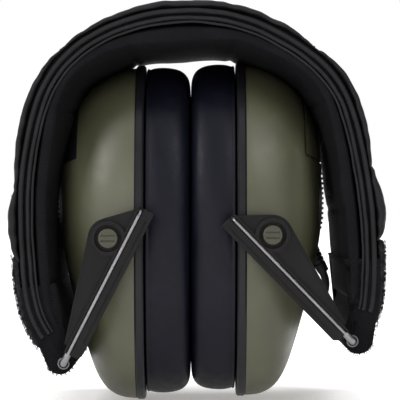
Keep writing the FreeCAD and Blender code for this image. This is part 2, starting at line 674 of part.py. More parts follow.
def closure_strip(side):
    """Hook-and-loop closure of the cover, from the cover's end down to the hinge."""
    w = BAND_HALF_WIDTH
    a, b = (0.0, COVER_FROM - 0.005) if side == "left" else (COVER_TO + 0.005, 1.0)
    strip = band_strip(a, b, lambda s: 1.2, lambda s: profile(CLOSURE_HEIGHT, s), -w, w, 8)
    centre = end_centre(side)
    strip = strip.cut(rod(BINDING_RADIUS + 0.1, centre - V(0, 60, 0), centre + V(0, 60, 0)))
    return strip.cut(prism(end_neck(side, 1.8, 12), -60, 60))


def end_centre(side):
    hinge = hinge_of(side)
    shift = V(-1.2, 0, 1.2) if side == "left" else V(1.9, 0, 0.6)
    return hinge + shift


def end_neck(side, half_thick, length):
    """Flat tongue from the hinge block up towards the core of the headband."""
    centre = end_centre(side)
    share = 0.0 if side == "left" else 1.0
    top = band_point(share, 0)
    up = (top - centre).normalize()
    across = V(up.z, 0, -up.x)
    points = [centre - across * half_thick, centre + across * half_thick,
              centre + up * length + across * half_thick, centre + up * length - across * half_thick]
    return [(p.x, p.z) for p in points]


def end_block(side):
    """Hinge block at the end of the headband, bored for the arm wire."""
    w = END_HALF_WIDTH - 0.4
    centre, hinge = end_centre(side), hinge_of(side)
    body = rod(END_BLOCK_RADIUS, centre - V(0, w, 0), centre + V(0, w, 0))
    length = (band_point(0.0 if side == "left" else 1.0, 0) - centre).Length - 0.3
    body = body.fuse(prism(end_neck(side, 1.6, length), -34, 34)).removeSplitter()
    return body.cut(rod(WIRE_BORE, hinge - V(0, 60, 0), hinge + V(0, 60, 0)))


def end_binding(side):
    """Woven binding wrapped round the hinge block."""
    w = END_HALF_WIDTH
    centre = end_centre(side)
    tube = rod(BINDING_RADIUS, centre - V(0, w, 0), centre + V(0, w, 0))
    tube = tube.cut(rod(END_BLOCK_RADIUS + 0.1, centre - V(0, 60, 0), centre + V(0, 60, 0)))
    gap = end_neck(side, 1.9, 20)
    return tube.cut(prism(gap, -60, 60))


# ---------------------------------------------------------------- build
def build_cup(side):
    save(f"{side}_shell", place(shell(side), side))
    save(f"{side}_grip_plate", place(outer_plate()[1], side))
    save(f"{side}_back_plate", place(back_plate(), side))
    save(f"{side}_plate_screws", place(screws(), side))
    save(f"{side}_cushion", place(cushion(), side))
    save(f"{side}_foam_liner", place(foam_liner(), side))
    save(f"{side}_speaker", place(speaker(), side))
    save(f"{side}_microphone", place(microphone(), side))
    front, rear = both_ends(pivot_pin())
    save(f"{side}_pivot_pin_front", place(front, side))
    save(f"{side}_pivot_pin_rear", place(rear, side))


def build_arm(side):
    front, rear = both_ends(slider(side))
    save(f"{side}_slider_front", front)
    save(f"{side}_slider_rear", rear)
    save(f"{side}_arm_wire", arm_wire(side))
    save(f"{side}_end_block", end_block(side))
    save(f"{side}_end_binding", end_binding(side))
    save(f"{side}_closure_strip", closure_strip(side))


def build_left_electronics():
    save("battery_door", place(battery_door(), "left"))
    save("battery_cells", place(battery_cells(), "left"))
    save("battery_contacts", place(battery_contacts(), "left"))
    save("circuit_board", place(circuit_board(), "left"))
    save("volume_knob", place(volume_knob(), "left"))


def build_right_fittings():
    save("audio_jack", place(audio_jack(), "right"))
    save("cable_boot", place(cable_boot(), "right"))
    route = cable_route()
    save("cup_cable", bent_rod(route, CABLE_RADIUS, widest_bends(route)))


def build_band():
    save("band_inner_pad", band_pad())
    save("band_core", band_core())
    front, rear = both_ends(band_spring())
    save("band_spring_front", front)
    save("band_spring_rear", rear)
    save("band_outer_cover", band_cover())


for each in ("left", "right"):
    build_cup(each)
    build_arm(each)
    print(each, "hinge", hinge_of(each), "pivot", pivot_of(each))
build_left_electronics()
build_right_fittings()
build_band()
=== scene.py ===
"""Folding earmuff hearing protector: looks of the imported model.

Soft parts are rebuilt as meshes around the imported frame, and every visible surface gets a
procedural material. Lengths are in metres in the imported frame: +X right, +Y back, +Z up.
"""
import json
import math

import bmesh
import bpy
import numpy as np
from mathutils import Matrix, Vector, noise


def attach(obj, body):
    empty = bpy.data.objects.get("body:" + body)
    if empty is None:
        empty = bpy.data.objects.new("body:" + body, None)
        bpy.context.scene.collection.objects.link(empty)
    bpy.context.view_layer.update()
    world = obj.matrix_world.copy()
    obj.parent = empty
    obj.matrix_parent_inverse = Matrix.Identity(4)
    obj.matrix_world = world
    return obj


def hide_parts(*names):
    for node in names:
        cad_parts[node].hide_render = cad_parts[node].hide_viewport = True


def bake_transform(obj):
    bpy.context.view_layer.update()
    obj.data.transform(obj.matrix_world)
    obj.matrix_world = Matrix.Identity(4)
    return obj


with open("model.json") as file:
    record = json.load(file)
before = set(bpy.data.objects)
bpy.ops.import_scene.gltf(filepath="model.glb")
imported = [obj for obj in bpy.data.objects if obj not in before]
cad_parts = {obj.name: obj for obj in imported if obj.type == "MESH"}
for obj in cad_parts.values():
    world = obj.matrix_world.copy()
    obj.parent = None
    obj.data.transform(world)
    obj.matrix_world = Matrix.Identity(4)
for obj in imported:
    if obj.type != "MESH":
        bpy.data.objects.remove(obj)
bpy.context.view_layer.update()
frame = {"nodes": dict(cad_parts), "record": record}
RECORD = frame["record"]
NODES = frame["nodes"]
MM = 0.001


# ---------------------------------------------------------------- node materials
class Shade:
    """A Principled material with short calls for the nodes that this scene uses."""

    def __init__(self, name, colour, roughness, **sockets):
        self.material = bpy.data.materials.new(name)
        self.material.use_nodes = True
        self.tree = self.material.node_tree
        self.tree.nodes.clear()
        self.bsdf = self.add("ShaderNodeBsdfPrincipled")
        output = self.add("ShaderNodeOutputMaterial")
        self.link(self.bsdf.outputs["BSDF"], output.inputs["Surface"])
        self.bsdf.inputs["Base Color"].default_value = (*colour, 1)
        self.bsdf.inputs["Roughness"].default_value = roughness
        for key, value in sockets.items():
            self.bsdf.inputs[key.replace("_", " ")].default_value = value
        self.colour = colour
        self.place = self.add("ShaderNodeTexCoord")
        self.normal = None

    def add(self, kind):
        return self.tree.nodes.new(kind)

    def link(self, a, b):
        self.tree.links.new(a, b)

    def coordinates(self, scale=(1, 1, 1), turn=(0, 0, 0), space="Object"):
        mapping = self.add("ShaderNodeMapping")
        mapping.inputs["Scale"].default_value = scale
        mapping.inputs["Rotation"].default_value = turn
        self.link(self.place.outputs[space], mapping.inputs["Vector"])
        return mapping.outputs["Vector"]

    def noise(self, scale, detail=3.0, stretch=(1, 1, 1), space="Object", roughness=0.55):
        node = self.add("ShaderNodeTexNoise")
        node.inputs["Scale"].default_value = scale
        node.inputs["Detail"].default_value = detail
        node.inputs["Roughness"].default_value = roughness
        self.link(self.coordinates(stretch, space=space), node.inputs["Vector"])
        return node.outputs["Fac"]

    def cells(self, scale, feature="DISTANCE_TO_EDGE", stretch=(1, 1, 1), space="Object"):
        node = self.add("ShaderNodeTexVoronoi")
        node.feature = feature
        node.inputs["Scale"].default_value = scale
        self.link(self.coordinates(stretch, space=space), node.inputs["Vector"])
        return node.outputs["Distance"]

    def waves(self, scale, direction="X", distortion=0.0, space="UV", turn=(0, 0, 0)):
        node = self.add("ShaderNodeTexWave")
        node.bands_direction = direction
        node.inputs["Scale"].default_value = scale
        node.inputs["Distortion"].default_value = distortion
        self.link(self.coordinates(turn=turn, space=space), node.inputs["Vector"])
        return node.outputs["Fac"]

    def ramp(self, source, stops):
        node = self.add("ShaderNodeValToRGB")
        while len(node.color_ramp.elements) < len(stops):
            node.color_ramp.elements.new(0.5)
        for element, (at, colour) in zip(node.color_ramp.elements, stops):
            element.position = at
            element.color = (*colour, 1) if isinstance(colour, tuple) else (colour, colour, colour, 1)
        self.link(source, node.inputs["Fac"])
        return node.outputs["Color"]

    def maths(self, operation, a, b):
        node = self.add("ShaderNodeMath")
        node.operation = operation
        for socket, value in zip(node.inputs, (a, b)):
            if isinstance(value, (int, float)):
                socket.default_value = value
            else:
                self.link(value, socket)
        return node.outputs["Value"]

    def spread(self, source, low, high):
        """The source mapped from 0.3-0.7 to the two given values."""
        node = self.add("ShaderNodeMapRange")
        node.inputs["From Min"].default_value = 0.3
        node.inputs["From Max"].default_value = 0.7
        node.inputs["To Min"].default_value = low
        node.inputs["To Max"].default_value = high
        self.link(source, node.inputs["Value"])
        return node.outputs["Result"]

    def vary_colour(self, source, dark, light):
        low = tuple(c * dark for c in self.colour)
        high = tuple(min(c * light, 1) for c in self.colour)
        self.link(self.ramp(source, [(0.3, low), (0.7, high)]), self.bsdf.inputs["Base Color"])

    def vary_roughness(self, source, low, high):
        self.link(self.spread(source, low, high), self.bsdf.inputs["Roughness"])

    def bump(self, height, distance, strength=1.0):
        node = self.add("ShaderNodeBump")
        node.inputs["Distance"].default_value = distance
        node.inputs["Strength"].default_value = strength
        self.link(height, node.inputs["Height"])
        if self.normal is not None:
            self.link(self.normal, node.inputs["Normal"])
        self.normal = node.outputs["Normal"]
        self.link(self.normal, self.bsdf.inputs["Normal"])


def moulded(name, colour, roughness, grain=2600, depth=0.00003, **sockets):
    """Moulded plastic: fine spark-eroded grain, faint flow marks and uneven gloss."""
    shade = Shade(name, colour, roughness, **sockets)
    broad = shade.noise(55, 4)
    shade.vary_colour(broad, 0.86, 1.14)
    shade.vary_roughness(shade.noise(160, 3), roughness - 0.05, roughness + 0.07)
    shade.bump(shade.noise(grain, 2), depth)
    shade.bump(shade.noise(240, 2), 0.00004, 0.5)
    return shade.material


def leatherette(name, colour):
    shade = Shade(name, colour, 0.46, Specular_IOR_Level=0.14)
    shade.vary_colour(shade.noise(90, 4), 0.8, 1.25)
    pores = shade.cells(1500)
    shade.vary_roughness(shade.noise(420, 3), 0.36, 0.52)
    shade.bump(shade.ramp(pores, [(0.0, 0.0), (0.22, 1.0)]), 0.00002)
    shade.bump(shade.noise(120, 2), 0.00010, 0.5)
    return shade.material


def woven(name, colour, pitch, roughness=0.82, depth=0.00008, shine=0.09):
    """Plain weave laid along the piece's own UV lines, with a little fuzz."""
    shade = Shade(name, colour, roughness, Specular_IOR_Level=shine)
    turns = 1 / (pitch * 2) * (2 * math.pi) / 20
    warp = shade.waves(turns, "X", 0.25)
    weft = shade.waves(turns, "Y", 0.25)
    shade.vary_colour(shade.noise(130, 4), 0.72, 1.3)
    shade.bump(shade.maths("MULTIPLY", warp, weft), depth)
    shade.bump(shade.noise(800, 3), 0.00012, 0.5)
    shade.bump(shade.noise(70, 3), 0.0005, 0.35)
    return shade.material


def looped(name, colour):
    """Hook-and-loop tape: a mat of tiny loops."""
    shade = Shade(name, colour, 0.95, Specular_IOR_Level=0.1)
    mat = shade.cells(1100, "F1")
    shade.vary_colour(shade.noise(700, 4), 0.45, 1.7)
    shade.bump(mat, 0.0004)
    shade.bump(shade.noise(1900, 4), 0.0003, 0.8)
    return shade.material


def foam(name, colour):
    shade = Shade(name, colour, 0.95, Specular_IOR_Level=0.1)
    holes = shade.cells(620, "F1")
    # The colour is darker at the bottom of each pit and lighter on the cell walls: painted shade in
    # the pits.
    shade.vary_colour(holes, 0.35, 1.5)
    shade.bump(holes, 0.0007)
    return shade.material


def brushed(name, colour, roughness):
    """Drawn steel with lengthwise scratches."""
    shade = Shade(name, colour, roughness, Metallic=1.0)
    shade.vary_colour(shade.noise(140, 4), 0.82, 1.08)
    shade.vary_roughness(shade.noise(900, 3, (1, 6, 1)), roughness - 0.06, roughness + 0.1)
    shade.bump(shade.noise(1700, 2, (1, 5, 1)), 0.000012)
    return shade.material


def rubber(name, colour):
    shade = Shade(name, colour, 0.62, Specular_IOR_Level=0.4)
    shade.vary_colour(shade.noise(200, 4), 0.75, 1.3)
    shade.vary_roughness(shade.noise(500, 3), 0.55, 0.75)
    shade.bump(shade.noise(1900, 3), 0.00004)
    return shade.material


def circuit(name, colour):
    shade = Shade(name, colour, 0.35, Coat_Weight=0.4)
    tracks = shade.waves(90, "Y", 2.0, "Object")
    shade.link(shade.ramp(tracks, [(0.45, colour), (0.55, tuple(c * 1.8 for c in colour))]),
               shade.bsdf.inputs["Base Color"])
    shade.bump(tracks, 0.00005)
    return shade.material


OLIVE = (0.051, 0.052, 0.030)
MATERIALS = {
    "cup_shell": moulded("olive_shell", OLIVE, 0.43, Specular_IOR_Level=0.40),
    "black_plastic": moulded("black_plastic", (0.0055, 0.0055, 0.007), 0.42, Specular_IOR_Level=0.2),
    "slider_plastic": moulded("slider_plastic", (0.0035, 0.0035, 0.004), 0.40, 1900, 0.00005,
                              Specular_IOR_Level=0.13),
    "rubber": rubber("black_rubber", (0.016, 0.016, 0.018)),
    "cushion_skin": leatherette("cushion_leatherette", (0.0023, 0.0023, 0.0058)),
    "foam": foam("open_foam", (0.03, 0.03, 0.032)),
    "steel_wire": brushed("wire_steel", (0.19, 0.19, 0.20), 0.34),
    "spring_steel": brushed("spring_steel", (0.45, 0.45, 0.47), 0.35),
    "fabric": woven("band_fabric", (0.0028, 0.0028, 0.0036), 0.00045),
    "hook_tape": looped("hook_tape", (0.010, 0.010, 0.011)),
    "pin_cap": moulded("olive_pin_cap", (0.030, 0.031, 0.019), 0.45, Specular_IOR_Level=0.3),
    "board": circuit("circuit_board", (0.02, 0.16, 0.06)),
    "cell": brushed("cell_jacket", (0.32, 0.33, 0.36), 0.38),
    "contact": brushed("contact_metal", (0.68, 0.66, 0.6), 0.3),
}
DULL_STEEL = brushed("dull_steel", (0.10, 0.10, 0.105), 0.38)
NYLON = woven("cover_nylon", (0.0048, 0.0048, 0.0058), 0.00035, 0.62, 0.00006, 0.17)
STITCH = woven("stitching", (0.012, 0.012, 0.013), 0.0003, 0.8, 0.00008)

for part in RECORD["subparts"]:
    mesh = NODES[part["node"]].data
    mesh.materials.clear()
    mesh.materials.append(MATERIALS[part["material_slot"]])


# ---------------------------------------------------------------- mesh helpers
def rough(point, scale, seed=0.0):
    """Smooth noise between about -1 and 1, the same on each run."""
    return noise.noise(Vector(point) * scale + Vector((seed, seed * 1.7, -seed)))


def make_object(name, verts, faces, material, uvs=None):
    mesh = bpy.data.meshes.new(name)
    mesh.from_pydata([tuple(v) for v in verts], [], faces)
    mesh.validate()
    mesh.update()
    mesh.polygons.foreach_set("use_smooth", [True] * len(mesh.polygons))
    if uvs is not None:
        layer = mesh.uv_layers.new(name="UVMap")
        flat = np.array(uvs, float)[[loop.vertex_index for loop in mesh.loops]]
        layer.data.foreach_set("uv", flat.ravel())
    mesh.materials.append(material)
    piece = bpy.data.objects.new(name, mesh)
    bpy.context.scene.collection.objects.link(piece)
    return piece


def loft(rows, closed=True, caps=True):
    """Vertices, faces and lengthwise UVs of a skin over rows of points, each row a ring."""
    rings, per = len(rows), len(rows[0])
    verts = [p for row in rows for p in row]
    faces = []
    last = per if closed else per - 1
    for i in range(rings - 1):
        for j in range(last):
            k = (j + 1) % per
            faces.append((i * per + j, i * per + k, (i + 1) * per + k, (i + 1) * per + j))
    if caps:
        faces.append(tuple(range(per)))
        faces.append(tuple(reversed(range((rings - 1) * per, rings * per))))
    uvs = []
    along = 0.0
    for i, row in enumerate(rows):
        if i:
            along += (Vector(row[0]) - Vector(rows[i - 1][0])).length
        across = 0.0
        for j, p in enumerate(row):
            if j:
                across += (Vector(p) - Vector(row[j - 1])).length
            uvs.append((along, across))
    return verts, faces, uvs


def join_lists(parts):
    """Several (vertices, faces, uvs) as one."""
    verts, faces, uvs = [], [], []
    for v, f, u in parts:
        base = len(verts)
        verts += list(v)
        uvs += list(u)
        faces += [tuple(i + base for i in face) for face in f]
    return verts, faces, uvs


def tube(path, radius, sides=8):
    """A round tube along points; radius is a number or one value per point."""
    path = [Vector(p) for p in path]
    rows = []
    side = None
    for i, p in enumerate(path):
        ahead = (path[min(i + 1, len(path) - 1)] - path[max(i - 1, 0)]).normalized()
        if side is None:
            side = ahead.orthogonal().normalized()
        side = (side - ahead * side.dot(ahead)).normalized()
        other = ahead.cross(side)
        r = radius if isinstance(radius, float) else radius[i]
        rows.append([p + (side * math.cos(a) + other * math.sin(a)) * r
                     for a in (2 * math.pi * k / sides for k in range(sides))])
    return loft(rows)


# ---------------------------------------------------------------- headband line
SPINE = [(-42.9, 18.3), (-48.6, 27.5), (-51.3, 40), (-52.3, 54), (-52.2, 68), (-50.8, 81),
         (-47.9, 93.5), (-41.8, 104.5), (-31, 112.8), (-16, 117.9), (-1.5, 119.2), (13, 117.4),
         (28.5, 110.6), (38.4, 102.6), (43.6, 94.5), (47.0, 83), (49.6, 69), (51.2, 54),
         (51.4, 40), (50.4, 31), (48.6, 25.0)]


def spline_table(points, count=1500):
    """A natural cubic spline through points, evaluated evenly along its length."""
    knots = np.array(points, float)
    steps = np.linalg.norm(np.diff(knots, axis=0), axis=1)
    t = np.concatenate([[0], np.cumsum(steps)])
    size = len(t)
    matrix, right = np.eye(size), np.zeros((size, 2))
    for i in range(1, size - 1):
        before, after = steps[i - 1], steps[i]
        matrix[i, i - 1:i + 2] = before, 2 * (before + after), after
        right[i] = 6 * ((knots[i + 1] - knots[i]) / after - (knots[i] - knots[i - 1]) / before)
    bend = np.linalg.solve(matrix, right)
    s = np.linspace(0, t[-1], count)
    k = np.clip(np.searchsorted(t, s, side="right") - 1, 0, size - 2)
    h = steps[k][:, None]
    a = ((t[k + 1] - s) / steps[k])[:, None]
    b = 1 - a
    return (a * knots[k] + b * knots[k + 1]
            + ((a ** 3 - a) * bend[k] + (b ** 3 - b) * bend[k + 1]) * h ** 2 / 6)


LINE = spline_table(SPINE) * MM
LINE_TANGENT = np.gradient(LINE, axis=0)
LINE_TANGENT /= np.linalg.norm(LINE_TANGENT, axis=1)[:, None]
BAND_LENGTH = float(np.linalg.norm(np.diff(LINE, axis=0), axis=1).sum())


def line_at(share):
    """Point and outward direction of the headband's middle line, as (x, z) pairs."""
    at = min(max(share, 0), 1) * (len(LINE) - 1)
    i = min(int(at), len(LINE) - 2)
    f = at - i
    point = LINE[i] * (1 - f) + LINE[i + 1] * f
    tangent = LINE_TANGENT[i] * (1 - f) + LINE_TANGENT[i + 1] * f
    if share < 0 or share > 1:
        point = point + tangent * BAND_LENGTH * (share - min(max(share, 0), 1))
    return point, np.array([-tangent[1], tangent[0]])


def on_band(share, offset, y):
    """A point at an outward offset from the headband's middle line, at depth y."""
    point, outward = line_at(share)
    x, z = point + outward * offset
    return Vector((x, y, z))


def smooth(knots, share):
    """Smooth value between (share, value) knots."""
    if share <= knots[0][0]:
        return knots[0][1]
    for (a, low), (b, high) in zip(knots, knots[1:]):
        if share <= b:
            t = (share - a) / (b - a)
            return low + (high - low) * t * t * (3 - 2 * t)
    return knots[-1][1]


SPLIT = 0.525              # share of the band at its very top
SIDES = ("left", "right")


def band_halves(name, rows_at, start, stop, count, material, replaced=(), caps=True):
    """A skin along the headband, cut at the top into a left and a right piece.

    rows_at(share) gives one ring. Both pieces keep the whole skin's normals at the cut, so
    that it doesn't show."""
    shares = [start + (stop - start) * i / count for i in range(count + 1)]
    middle = min(range(len(shares)), key=lambda i: abs(shares[i] - SPLIT))
    rows = [rows_at(s) for s in shares]
    whole = make_object(name, *loft(rows, caps=False)[:2], material)
    per = len(rows[0])
    seam = [whole.data.vertices[middle * per + j].normal.copy() for j in range(per)]
    bpy.data.objects.remove(whole)
    made = []
    for side in SIDES:
        part = rows[:middle + 1] if side == "left" else rows[middle:]
        verts, faces, uvs = loft(part, caps=False)
        if caps:
            end = tuple(range(per)) if side == "left" else tuple(
                reversed(range((len(part) - 1) * per, len(part) * per)))
            faces.append(end)
        piece = make_object(f"{side}_{name}", verts, faces, material, uvs)
        normals = [(0, 0, 0)] * len(verts)
        first = (len(part) - 1) * per if side == "left" else 0
        for j in range(per):
            normals[first + j] = tuple(seam[j])
        piece.data.normals_split_custom_set_from_vertices(normals)
        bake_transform(piece)
        made.append(piece)
    for node in replaced:
        for piece in made:
            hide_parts(node)
    return made


def cushion_ring(half_width, low, high, fullness, count):
    """Cross-section of a pad: flat in the middle and rounded at its edges."""
    ring = []
    for k in range(count):
        a = 2 * math.pi * k / count
        c, s = math.cos(a), math.sin(a)
        y = math.copysign(abs(c) ** (2 / fullness), c) * half_width
        o = (low + high) / 2 + math.copysign(abs(s) ** (2 / fullness), s) * (high - low) / 2
        ring.append((y, o))
    return ring


# ---------------------------------------------------------------- headband pieces
PAD_DEPTH = [(0.03, 6.0), (0.10, 7.4), (0.25, 7.6), (0.34, 5.8), (0.40, 6.8), (0.5, 9.7),
             (0.60, 7.0), (0.67, 5.8), (0.78, 7.3), (0.84, 8.2), (0.88, 7.8), (0.965, 6.6)]
COVER_HEIGHT = [(0.12, 5.6), (0.17, 5.8), (0.22, 5.0), (0.3, 4.6), (0.5, 5.0), (0.7, 4.6),
                (0.80, 4.9), (0.87, 6.4), (0.90, 5.8)]
PANEL_SEAMS = [0.110, 0.192, 0.366, 0.668, 0.812, 0.898]
PAD_SEAMS = [0.30, 0.434, 0.572, 0.72, 0.858]
HALF_WIDTH = 40.0
PAD_START, PAD_STOP = 0.022, 0.970
PAD_FACE = -2.1            # where the pad meets the core, outwards from the middle line
COVER_FACE = 1.9           # where the cover meets the core
COVER_HEM = 2.6            # outer face of the cover's flat ends
# How much further the pad stands in along its middle than along its two edges.
PAD_BELLY = [(0.04, 0.8), (0.2, 1.4), (0.30, 4.2), (0.40, 3.9), (0.47, 1.5), (0.53, 1.1),
             (0.61, 2.9), (0.70, 3.3), (0.78, 1.2), (0.86, 0.5), (0.95, 0.4)]


def end_taper(share, start, stop, length=0.018):
    """0 at a pad's ends and 1 from a little way in, as a rounded hem."""
    near = min(share - start, stop - share) / length
    return math.sqrt(max(0.0, 1 - (1 - min(near, 1)) ** 2))


def pad_pinch(share):
    """1 between the pad's cross seams and less at each of them."""
    return 1 - 0.055 * sum(math.exp(-((share - seam) / 0.0045) ** 2) for seam in PAD_SEAMS)


def pad_row(share):
    depth = smooth(PAD_DEPTH, share) * pad_pinch(share)
    fat = 0.25 + 0.75 * end_taper(share, PAD_START, PAD_STOP)
    middle = (PAD_FACE - depth) / 2
    half = (depth + PAD_FACE) / 2 * fat
    belly = smooth(PAD_BELLY, share) * fat * pad_pinch(share) ** 2
    row = []
    for y, o in cushion_ring(HALF_WIDTH + 0.5 * pad_pinch(share), middle - half, middle + half,
                             5.0, 64):
        if o < middle:
            o -= belly * (1 - (y / HALF_WIDTH) ** 2) * (middle - o) / half
        p = on_band(share, o * MM, y * MM)
        fold = 0.22 * rough(p, 60, 3) + 0.10 * rough((p.x, p.y * 0.3, p.z), 260, 8)
        row.append(on_band(share, (o + fold) * MM, y * MM))
    return row


def panel_puff(share):
    """How much the padded cover stands up between two of its cross seams, from 0 to 1."""
    for a, b in zip(PANEL_SEAMS, PANEL_SEAMS[1:]):
        if a <= share <= b:
            t = (share - a) / (b - a)
            return min(1.0, (math.sin(math.pi * t) + 0.02) ** 0.45)
    return 0.0


def cover_top(share):
    """Outer face of the padded cover, in mm outside the middle line."""
    return smooth(COVER_HEIGHT, share) * (0.58 + 0.50 * panel_puff(share))


def cover_row(share):
    start, stop = PANEL_SEAMS[0], PANEL_SEAMS[-1]
    puff = panel_puff(share)
    top = cover_top(share)
    top = COVER_HEM + (top - COVER_HEM) * (0.3 + 0.7 * end_taper(share, start, stop, 0.01))
    row = []
    for y, o in cushion_ring(HALF_WIDTH + 0.2 + 0.5 * puff, COVER_FACE, top, 3.4, 56):
        p = on_band(share, o * MM, y * MM)
        crease = 0.34 * rough((p.x, p.y * 0.5, p.z), 95, 5) + 0.16 * rough(p, 330, 1)
        rim = max(0.0, (abs(y) - 30) / 10)
        crease += 0.42 * rim * rough((share * 75 + y * 0.05, y * 0.02, 0.4), 1.0, 7)
        outer = 1.0 if o > COVER_HEM else 0.3
        row.append(on_band(share, (o + crease * outer) * MM, y * MM))
    return row


def sleeve_row(share):
    row = []
    for y, o in cushion_ring(HALF_WIDTH - 0.6, -2.4, 2.7, 9, 40):
        row.append(on_band(share, o * MM, y * MM))
    return row


# Corded seams: offset from the middle line, radius, and distance from the band's mid plane.
PIPING = [(1.45, 0.80, 40.1), (-0.75, 0.66, 40.3), (-2.05, 0.40, 40.4)]
PIPING_LEAN = [(0.2, 0.0), (0.34, -0.8), (0.5, 0.0), (0.66, -0.8), (0.8, 0.0)]
PIPING_SIDES = 10


def piping_ring(share, index, face):
    """Ring of one corded seam, which wanders a little along its way."""
    offset, radius, half = PIPING[index]
    wave = 0.16 * rough((share * 40, index * 3.1, face), 1.0, 2)
    shift = 0.12 * rough((share * 90, index * 5.7, face), 1.0, 6)
    middle = offset + smooth(PIPING_LEAN, share) + wave
    row = []
    for k in range(PIPING_SIDES):
        a = 2 * math.pi * k / PIPING_SIDES
        y = face * (half + shift) + radius * math.sin(a)
        row.append(on_band(share, (middle + radius * math.cos(a)) * MM, y * MM))
    return row


def build_piping():
    """Corded seams along the front and rear edges of the headband."""
    for index in range(len(PIPING)):
        for face, place in ((-1, "front"), (1, "rear")):
            def ring(share):
                return piping_ring(share, index, face)
            band_halves(f"piping_{index + 1}_{place}", ring, 0.020, 0.980, 320, NYLON)


def build_band():
    pads = band_halves("inner_pad", pad_row, PAD_START, PAD_STOP, 300, MATERIALS["fabric"],
                       ("band_inner_pad",))
    covers = band_halves("outer_cover", cover_row, PANEL_SEAMS[0], PANEL_SEAMS[-1], 340, NYLON,
                         ("band_outer_cover",))
    band_halves("band_sleeve", sleeve_row, 0.0, 1.0, 240, MATERIALS["fabric"],
                ("band_core", "band_spring_front", "band_spring_rear"))


STITCHES, STITCH_PITCH, STITCH_RADIUS = 26, 2.9, 0.00022


def stitch_rows():
    """Short raised stitches on both sides of the cover's cross seams."""
    for side in SIDES:
        parts = []
        for seam in PANEL_SEAMS[1:-1]:
            if (seam < SPLIT) != (side == "left"):
                continue
            for shift in (-0.006, 0.006):
                for k in range(STITCHES):
                    y = (k - (STITCHES - 1) / 2) * STITCH_PITCH * MM
                    share = seam + shift
                    top = cover_top(share) * MM - 0.00008 - 0.0009 * abs(y / 0.04) ** 6
                    a = on_band(share, top, y - 0.0009)
                    b = on_band(share, top + 0.0003, y)
                    c = on_band(share, top, y + 0.0009)
                    parts.append(tube([a, b, c], STITCH_RADIUS, 6))
        verts, faces, uvs = join_lists(parts)
        piece = make_object(f"{side}_cover_stitches", verts, faces, STITCH, uvs)
        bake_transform(piece)


# ---------------------------------------------------------------- band ends
HINGE = {"left": Vector((-0.040825, 0, 0.014123)), "right": Vector((0.046247, 0, 0.020854))}
TIP = {"left": HINGE["left"] + Vector((-0.0012, 0, 0.0012)),
       "right": HINGE["right"] + Vector((0.0019, 0, 0.0006))}
TIP_RADIUS = 4.5


def end_share(side, distance):
    """Share at a distance up the band, in metres, from its end on one side."""
    part = distance / BAND_LENGTH
    return part if side == "left" else 1 - part


# Outline of the fabric round each hinge: distance up the band from its end, and offset from
# the band's middle line, in mm. The left end is fuller than the right one.
SLEEVE_OUTER = [(21, 3.1), (16, 3.3), (11, 3.5), (6, 3.8), (2, 4.2)]
SLEEVE_INNER = {"left": [(2, -4.9), (6, -6.4), (11, -7.7), (16, -7.9), (21, -7.6)],
                "right": [(2, -4.3), (6, -4.0), (11, -4.6), (16, -6.4), (21, -8.0)]}
WIRE_HOLE = 1.35
END_FACE = 40.2
GATHER_STEPS = 8
GATHER_REACH = 0.0058
FRAY_THREADS = 90


def sleeve_outline(side, inset):
    """Closed teardrop outline, in the XZ plane, of the fabric wrapped round the end hinge."""
    outward = line_at(0.0 if side == "left" else 1.0)[1]
    down = np.array([outward[1], -outward[0]]) * (-1 if side == "left" else 1)
    tip = np.array([TIP[side].x, TIP[side].z])
    outline = []
    for distance, offset in SLEEVE_OUTER:
        p, out = line_at(end_share(side, distance * MM))
        outline.append(p + out * (offset - inset) * MM)
    for k in range(25):
        a = math.pi * k / 24
        ray = outward * math.cos(a) + down * math.sin(a)
        outline.append(tip + ray * (TIP_RADIUS - inset) * MM)
    for distance, offset in SLEEVE_INNER[side]:
        p, out = line_at(end_share(side, distance * MM))
        outline.append(p + out * (offset + inset) * MM)
    return outline


def sleeve_end_rows(side, face):
    """Gathered fabric that closes one end of the sleeve, down to the hole for the wire."""
    hinge = np.array([HINGE[side].x, HINGE[side].z])
    outline = sleeve_outline(side, 0.25)
    rows = []
    for step in range(GATHER_STEPS + 1):
        f = step / GATHER_STEPS
        row = []
        for k, p in enumerate(outline):
            away = p - hinge
            size = float(np.linalg.norm(away))
            reach = size + (WIRE_HOLE * MM - size) * f
            q = hinge + away * reach / size
            pucker = math.sin(k * 1.9 + 3 * rough((k * 0.3, face, 1), 1.0, 3))
            from_tip = math.hypot(q[0] - TIP[side].x, q[1] - TIP[side].z)
            near = math.exp(-(from_tip / GATHER_REACH) ** 2)
            fold = 0.16 * pucker * math.sin(math.pi * f) * near
            grain = 0.10 * rough((q[0], face, q[1]), 600, 5) * (0.3 + 0.7 * near)
            y = face * (END_FACE + 0.62 * near + fold + grain) * MM
            row.append(Vector((q[0], y, q[1])))
        rows.append(row)
    return rows


def build_end_sleeve(side):
    """Fabric loop round the hinge, gathered at the front and the rear round the wire."""
    half, count = END_FACE, 60
    rows = list(reversed(sleeve_end_rows(side, -1)))
    for k in range(count + 1):
        y = -half + 0.35 + (2 * half - 0.7) * k / count
        row = []
        for p in sleeve_outline(side, 0.0):
            q = Vector((p[0], y * MM, p[1]))
            frizz = 0.20 * rough(q, 420, 4) + 0.10 * rough(q, 1300, 9)
            away = (q - Vector((TIP[side].x, q.y, TIP[side].z))).normalized()
            row.append(q + away * frizz * MM)
        rows.append(row)
    rows += sleeve_end_rows(side, 1)
    skin = loft(rows, caps=False)
    verts, faces, uvs = join_lists([skin] + sleeve_fray(side))
    piece = make_object(f"{side}_end_sleeve", verts, faces, MATERIALS["fabric"], uvs)
    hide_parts(f"{side}_end_binding")
    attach(piece, f"{side}_band_end")


